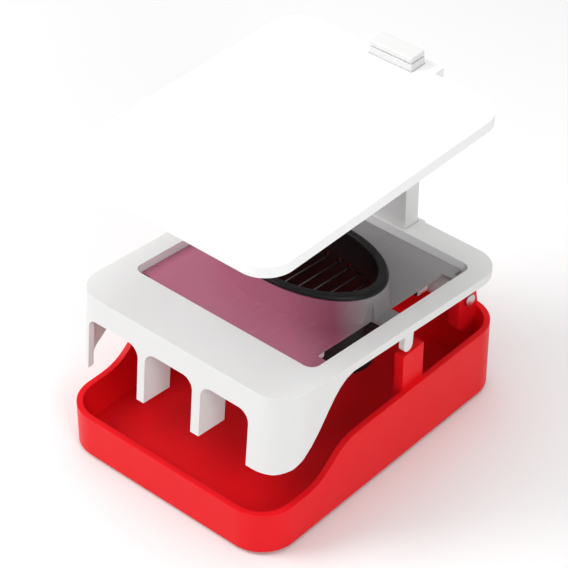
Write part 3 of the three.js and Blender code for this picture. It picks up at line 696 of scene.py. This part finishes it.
@dataclass
class ScrewMaker:
    """A pan head screw with a cross recess, modelled once and given its own shank at each place.

    Points within the level of a face's height count as on it.
    """

    head_radius: float = 2.0 * MM
    head_height: float = 1.3 * MM
    head_round: float = 0.55 * MM
    shank_radius: float = 1.0 * MM
    recess_depth: float = 0.7 * MM
    recess_long: float = 2.3 * MM
    recess_wide: float = 0.5 * MM
    sides: int = 40
    round_steps: int = 4
    level: float = 0.02 * MM
    sharp_degrees: float = 30.0
    master: Optional[bpy.types.Object] = field(default=None, repr=False)

    def build(self) -> None:
        """Models the head at the origin, with its bearing face at z = 0 and its recess facing -Z."""
        bpy.ops.object.select_all(action="DESELECT")
        bpy.ops.mesh.primitive_cylinder_add(
            vertices=self.sides,
            radius=self.head_radius,
            depth=self.head_height,
            location=(0, 0, -self.head_height / 2),
        )
        head = bpy.context.active_object
        settle(head)
        bpy.ops.object.mode_set(mode="EDIT")
        select_faces(head, lambda face: face.normal.z < -FACING)
        bpy.ops.mesh.bevel(offset=self.head_round, segments=self.round_steps, affect="EDGES")
        bpy.ops.object.mode_set(mode="OBJECT")
        for turn in (0.0, math.pi / 2):
            self.cut_recess(head, turn)
        self.master = head

    def cut_recess(self, head: bpy.types.Object, turn: float) -> None:
        """Cuts one bar of the cross.

        Args:
            head: the screw's head.
            turn: the bar's angle in radians.
        """
        bpy.ops.object.select_all(action="DESELECT")
        outer_face = (0, 0, -self.head_height)
        bpy.ops.mesh.primitive_cube_add(size=1.0, location=outer_face, rotation=(0, 0, turn))
        cutter = bpy.context.active_object
        cutter.scale = (self.recess_long, self.recess_wide, 2 * self.recess_depth)
        settle(cutter)
        apply_modifier(head, "BOOLEAN", operation="DIFFERENCE", object=cutter, solver="EXACT")
        bpy.data.objects.remove(cutter)

    def place(self, node: str, body: Body, palette: Palette, turn: Matrix, spin: float) -> None:
        """Adds a screw in the place of a structural one.

        Args:
            node: the structural screw.
            body: the body that it rides on.
            palette: the finishes.
            turn: the rotation that takes the head from facing -Z to its own way.
            spin: the recess's own angle in radians.
        """
        out = turn @ Vector((0, 0, -1))
        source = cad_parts[node]
        points = [source.matrix_world @ vertex.co for vertex in source.data.vertices]
        reach = [out.dot(point) for point in points]
        outer = [point for point, far in zip(points, reach) if far > max(reach) - self.level]
        spans = [(min(values), max(values)) for values in zip(*outer)]
        middle = Vector([(low + high) / 2 for low, high in spans])
        shank = max(reach) - min(reach) - self.head_height
        screw = bpy.data.objects.new(node + "_turned", self.master.data.copy())
        bpy.context.scene.collection.objects.link(screw)
        only(screw)
        bpy.ops.object.mode_set(mode="EDIT")
        select_faces(screw, lambda face: face.normal.z > FACING and face.center.z > -self.level)
        bpy.ops.mesh.inset(thickness=self.head_radius - self.shank_radius)
        bpy.ops.mesh.extrude_region_move(TRANSFORM_OT_translate={"value": (0, 0, shank)})
        bpy.ops.object.mode_set(mode="OBJECT")
        base = middle - out * self.head_height
        screw.matrix_world = Matrix.Translation(base) @ turn.to_4x4() @ Matrix.Rotation(spin, 4, "Z")
        settle(screw)
        smooth(screw, self.sharp_degrees)
        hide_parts(node)
        finish_piece(screw, body, palette, STEEL)


# ---- Sub-assemblies ----------------------------------------------------------------------------------


@dataclass
class CatchTray:
    """The red tray, its feet and its hinge pin.

    The tread is (share of the radius, way) of each ring of a foot, inwards from its rim. The way is 1 for a
    ring that is sunk, -1 for one that stands back out, and 0 for one that is level with the last.
    """

    mouldings: Sequence[SoftPiece] = (
        SoftPiece("tray_shell", "moulded", 0.7 * MM, 4, Body.TRAY, Slot.RED, RED),
        SoftPiece("hinge_pin", "turned", 0.25 * MM, 2, Body.TRAY, Slot.STEEL, STEEL),
    )
    corners: Sequence[str] = ("front_left", "front_right", "rear_left", "rear_right")
    foot_sides: int = 56
    foot_round: float = 0.18 * MM
    groove: float = 0.45 * MM
    tread: Sequence[tuple] = ((0.22, 0), (0.10, 1), (0.10, -1), (0.28, 1))

    def build(self, palette: Palette) -> None:
        """Models and dresses every piece of the tray.

        Args:
            palette: the finishes.
        """
        for moulding in self.mouldings:
            moulding.build(palette)
        for corner in self.corners:
            self.build_foot("foot_" + corner, palette)

    def build_foot(self, node: str, palette: Palette) -> None:
        """Models one foot: a disc with a ring groove and a hollow in its tread.

        Args:
            node: the structural foot.
            palette: the finishes.
        """
        low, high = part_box(node)
        radius = (high.x - low.x) / 2
        bpy.ops.object.select_all(action="DESELECT")
        bpy.ops.mesh.primitive_cylinder_add(
            vertices=self.foot_sides,
            radius=radius,
            depth=high.z - low.z,
            location=centre_of(node),
        )
        foot = bpy.context.active_object
        foot.name = node + "_pad"
        settle(foot)
        bpy.ops.object.mode_set(mode="EDIT")
        select_faces(foot, lambda face: face.normal.z < -FACING)
        for share, way in self.tread:
            bpy.ops.mesh.inset(thickness=radius * share)
            if way:
                move = (0, 0, way * self.groove)
                bpy.ops.mesh.extrude_region_move(TRANSFORM_OT_translate={"value": move})
        bpy.ops.object.mode_set(mode="OBJECT")
        apply_modifier(foot, "BEVEL", width=self.foot_round, segments=2, limit_method="ANGLE")
        smooth(foot)
        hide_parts(node)
        finish_piece(foot, Body.TRAY, palette, RUBBER)


@dataclass
class CuttingFrame:
    """The white frame, its insert with collar and guide, the wires, clamps and screws.

    Spins turn the screws' recesses, in radians, and the wires' round is a share of their radius.
    """

    mouldings: Sequence[SoftPiece] = (
        SoftPiece("frame_shell", "moulded", 0.8 * MM, 3, Body.FRAME, Slot.WHITE, WHITE),
        SoftPiece("insert_plate", "moulded", 0.35 * MM, 2, Body.FRAME, Slot.SMOKE, SMOKE),
        SoftPiece("egg_collar", "moulded", 0.4 * MM, 3, Body.FRAME, Slot.BLACK, BLACK),
        SoftPiece("slice_guide", "moulded", 0.25 * MM, 2, Body.FRAME, Slot.BLACK, BLACK),
        SoftPiece("wire_clamp_front", "milled", 0.25 * MM, 2, Body.FRAME, Slot.STEEL, STEEL),
        SoftPiece("wire_clamp_rear", "milled", 0.25 * MM, 2, Body.FRAME, Slot.STEEL, STEEL),
    )
    screws_under: Sequence[str] = (
        "clamp_screw_front_left",
        "clamp_screw_front_right",
        "clamp_screw_rear_left",
        "clamp_screw_rear_right",
        "guide_screw_left",
        "guide_screw_right",
    )
    under_spin: float = 0.4
    column_spin: float = 0.3
    wire_nodes: Sequence[str] = tuple(f"wire_{number:02d}" for number in range(1, 12))
    wire_sides: int = 12
    wire_round: float = 0.4
    wire_end_degrees: float = 60.0
    wire_sharp_degrees: float = 50.0

    def build(self, palette: Palette, screws: ScrewMaker) -> None:
        """Models and dresses every piece of the frame.

        Args:
            palette: the finishes.
            screws: the screw maker.
        """
        for moulding in self.mouldings:
            moulding.build(palette)
        pitch = frame_pitch()
        tilt = Matrix.Rotation(-pitch, 3, "X")
        for index, node in enumerate(self.screws_under):
            screws.place(node, Body.FRAME, palette, tilt, self.under_spin * index)
        rearward = tilt @ Matrix.Rotation(math.pi / 2, 3, "X")
        for index, side in enumerate(("left", "right")):
            screws.place("column_screw_" + side, Body.FRAME, palette, rearward, self.column_spin + index)
        for node in self.wire_nodes:
            self.build_wire(node, palette, pitch)

    def build_wire(self, node: str, palette: Palette, pitch: float) -> None:
        """Models a round wire with rounded ends. The structural wire is a hexagon, as wide as its flats.

        Args:
            node: the structural wire.
            palette: the finishes.
            pitch: the frame's pitch in radians.
        """
        low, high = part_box(node)
        radius = (high.x - low.x) / math.sqrt(3)
        length = (high.y - low.y - 2 * radius * math.sin(pitch)) / math.cos(pitch)
        bpy.ops.object.select_all(action="DESELECT")
        bpy.ops.mesh.primitive_cylinder_add(
            vertices=self.wire_sides,
            radius=radius,
            depth=length,
            location=centre_of(node),
            rotation=(math.pi / 2 - pitch, 0, 0),
        )
        wire = bpy.context.active_object
        wire.name = node + "_drawn"
        settle(wire)
        apply_modifier(
            wire,
            "BEVEL",
            width=radius * self.wire_round,
            segments=2,
            limit_method="ANGLE",
            angle_limit=math.radians(self.wire_end_degrees),
        )
        smooth(wire, self.wire_sharp_degrees)
        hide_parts(node)
        finish_piece(wire, Body.FRAME, palette, WIRE_STEEL)


@dataclass
class Press:
    """The column with its spring and cap, and the carriage, lid and comb that slide on it."""

    mouldings: Sequence[SoftPiece] = (
        SoftPiece("guide_column", "moulded", 0.5 * MM, 3, Body.FRAME, Slot.WHITE, WHITE),
        SoftPiece("column_cap", "moulded", 0.6 * MM, 3, Body.FRAME, Slot.WHITE, WHITE),
        SoftPiece("press_carriage", "moulded", 0.5 * MM, 3, Body.PRESS, Slot.WHITE, WHITE),
        SoftPiece("press_lid", "moulded", 1.0 * MM, 4, Body.PRESS, Slot.WHITE, LID_WHITE),
        SoftPiece("pusher_comb", "moulded", 0.4 * MM, 2, Body.PRESS, Slot.WHITE, WHITE),
    )
    screws_under: Sequence[str] = (
        "comb_screw_left",
        "comb_screw_right",
        "carriage_screw_left",
        "carriage_screw_right",
    )
    under_spin: float = 0.5
    spring_turns: int = 10
    spring_wire: float = 0.4 * MM
    spring_wire_sides: int = 10
    spring_sharp_degrees: float = 60.0
    steps_per_turn: int = 28

    def build(self, palette: Palette, screws: ScrewMaker) -> None:
        """Models and dresses the column, spring and press.

        Args:
            palette: the finishes.
            screws: the screw maker.
        """
        for moulding in self.mouldings:
            moulding.build(palette)
        for index, node in enumerate(self.screws_under):
            screws.place(node, Body.PRESS, palette, Matrix.Identity(3), self.under_spin * index)
        self.build_spring(palette)

    def build_spring(self, palette: Palette) -> None:
        """Models the return spring by turning its wire's section up a screw.

        Args:
            palette: the finishes.
        """
        low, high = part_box("return_spring")
        middle = (low + high) / 2
        radius = (high.x - low.x) / 2 - self.spring_wire
        steps = self.steps_per_turn * self.spring_turns
        bpy.ops.object.select_all(action="DESELECT")
        bpy.ops.mesh.primitive_circle_add(
            vertices=self.spring_wire_sides,
            radius=self.spring_wire,
            fill_type="NGON",
            location=(radius, 0, self.spring_wire),
            rotation=(math.pi / 2, 0, 0),
        )
        spring = bpy.context.active_object
        spring.name = "return_spring_coil"
        settle(spring)
        rise = high.z - low.z - 2 * self.spring_wire
        apply_modifier(
            spring,
            "SCREW",
            angle=2 * math.pi * self.spring_turns,
            screw_offset=rise,
            steps=steps,
            render_steps=steps,
            use_merge_vertices=False,
        )
        bpy.ops.object.mode_set(mode="EDIT")
        bpy.ops.mesh.select_all(action="SELECT")
        bpy.ops.mesh.remove_doubles(threshold=SAME_POINT / 2)
        bpy.ops.mesh.normals_make_consistent(inside=False)
        bpy.ops.object.mode_set(mode="OBJECT")
        spring.location = (middle.x, middle.y, low.z)
        settle(spring)
        smooth(spring, self.spring_sharp_degrees)
        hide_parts("return_spring")
        finish_piece(spring, Body.FRAME, palette, SPRING_STEEL)
        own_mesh(spring)


# ---- Studio ------------------------------------------------------------------------------------------


@dataclass(frozen=True)
class AreaLight:
    """A soft square light that is aimed at the object. Its energy is in watts."""

    name: str
    place: tuple
    energy: float
    size: float

    def build(self, aim: Vector) -> None:
        """Adds the light.

        Args:
            aim: the point that it faces.
        """
        data = bpy.data.lights.new(self.name, "AREA")
        data.energy = self.energy
        data.size = self.size
        lamp = bpy.data.objects.new(self.name, data)
        lamp.location = self.place
        lamp.rotation_euler = (aim - Vector(self.place)).to_track_quat("-Z", "Y").to_euler()
        bpy.context.scene.collection.objects.link(lamp)


@dataclass
class Studio:
    """A pale floor, soft lights and the camera. Angles are in degrees and the lens in millimetres."""

    azimuth: float = 41.25
    elevation: float = 38.57
    distance: float = 0.8925
    aim_height: float = 0.060
    lens: float = 151.5
    shift: tuple = (-0.0026, 0.0055)
    clip: tuple = (0.05, 20.0)
    floor_size: float = 8.0
    floor_color: tuple = (0.93, 0.93, 0.93, 1.0)
    floor_roughness: float = 0.9
    floor_gloss: float = 0.1
    sky_color: tuple = (1.0, 1.0, 1.0, 1.0)
    sky_strength: float = 0.40
    lights: Sequence[AreaLight] = (
        AreaLight("key", (-0.60, -0.55, 0.80), 6.0, 0.5),
        AreaLight("side", (0.80, -0.40, 0.58), 3.2, 0.35),
        AreaLight("top", (-0.05, 0.10, 1.1), 4.5, 0.7),
    )

    def build_camera(self) -> None:
        """Adds the camera, aimed above the tray's middle."""
        turn = math.radians(self.azimuth)
        climb = math.radians(self.elevation)
        level = math.cos(climb)
        back = Vector((math.sin(turn) * level, -math.cos(turn) * level, math.sin(climb)))
        data = bpy.data.cameras.new("camera")
        data.lens = self.lens
        data.shift_x, data.shift_y = self.shift
        data.clip_start, data.clip_end = self.clip
        camera = bpy.data.objects.new("camera", data)
        camera.location = Vector((0, 0, self.aim_height)) + back * self.distance
        camera.rotation_euler = back.to_track_quat("Z", "Y").to_euler()
        bpy.context.scene.collection.objects.link(camera)
        bpy.context.scene.camera = camera

    def build_floor(self) -> None:
        """Adds a wide pale matt floor."""
        bpy.ops.object.select_all(action="DESELECT")
        bpy.ops.mesh.primitive_plane_add(size=self.floor_size, location=(0, 0, 0))
        floor = bpy.context.active_object
        floor.name = "floor"
        made, _, shader = FinishKit.material("Pale floor")
        shader.inputs["Base Color"].default_value = self.floor_color
        shader.inputs["Roughness"].default_value = self.floor_roughness
        shader.inputs["Specular IOR Level"].default_value = self.floor_gloss
        floor.data.materials.append(made)

    def build_sky(self) -> None:
        """Sets an even white surround."""
        world = bpy.data.worlds.new("surround")
        world.use_nodes = True
        shade = world.node_tree.nodes["Background"]
        shade.inputs["Color"].default_value = self.sky_color
        shade.inputs["Strength"].default_value = self.sky_strength
        bpy.context.scene.world = world

    def build(self) -> None:
        """Adds the camera, floor, surround and lights, and a plain colour transform."""
        self.build_camera()
        self.build_floor()
        self.build_sky()
        aim = Vector((0, 0, self.aim_height))
        for light in self.lights:
            light.build(aim)
        bpy.context.scene.view_settings.view_transform = "Standard"


def corners(box: Iterable[Vector]) -> list:
    """A box's corners as plain lists of numbers."""
    return [[float(value) for value in corner] for corner in box]


def main() -> None:
    """Builds the studio and every sub-assembly."""
    logging.basicConfig(level=logging.INFO, format="%(message)s")
    Studio().build()
    palette = Palette()
    screws = ScrewMaker()
    screws.build()
    CatchTray().build(palette)
    CuttingFrame().build(palette, screws)
    Press().build(palette, screws)
    bpy.data.objects.remove(screws.master)


if __name__ == "__main__":
    main()
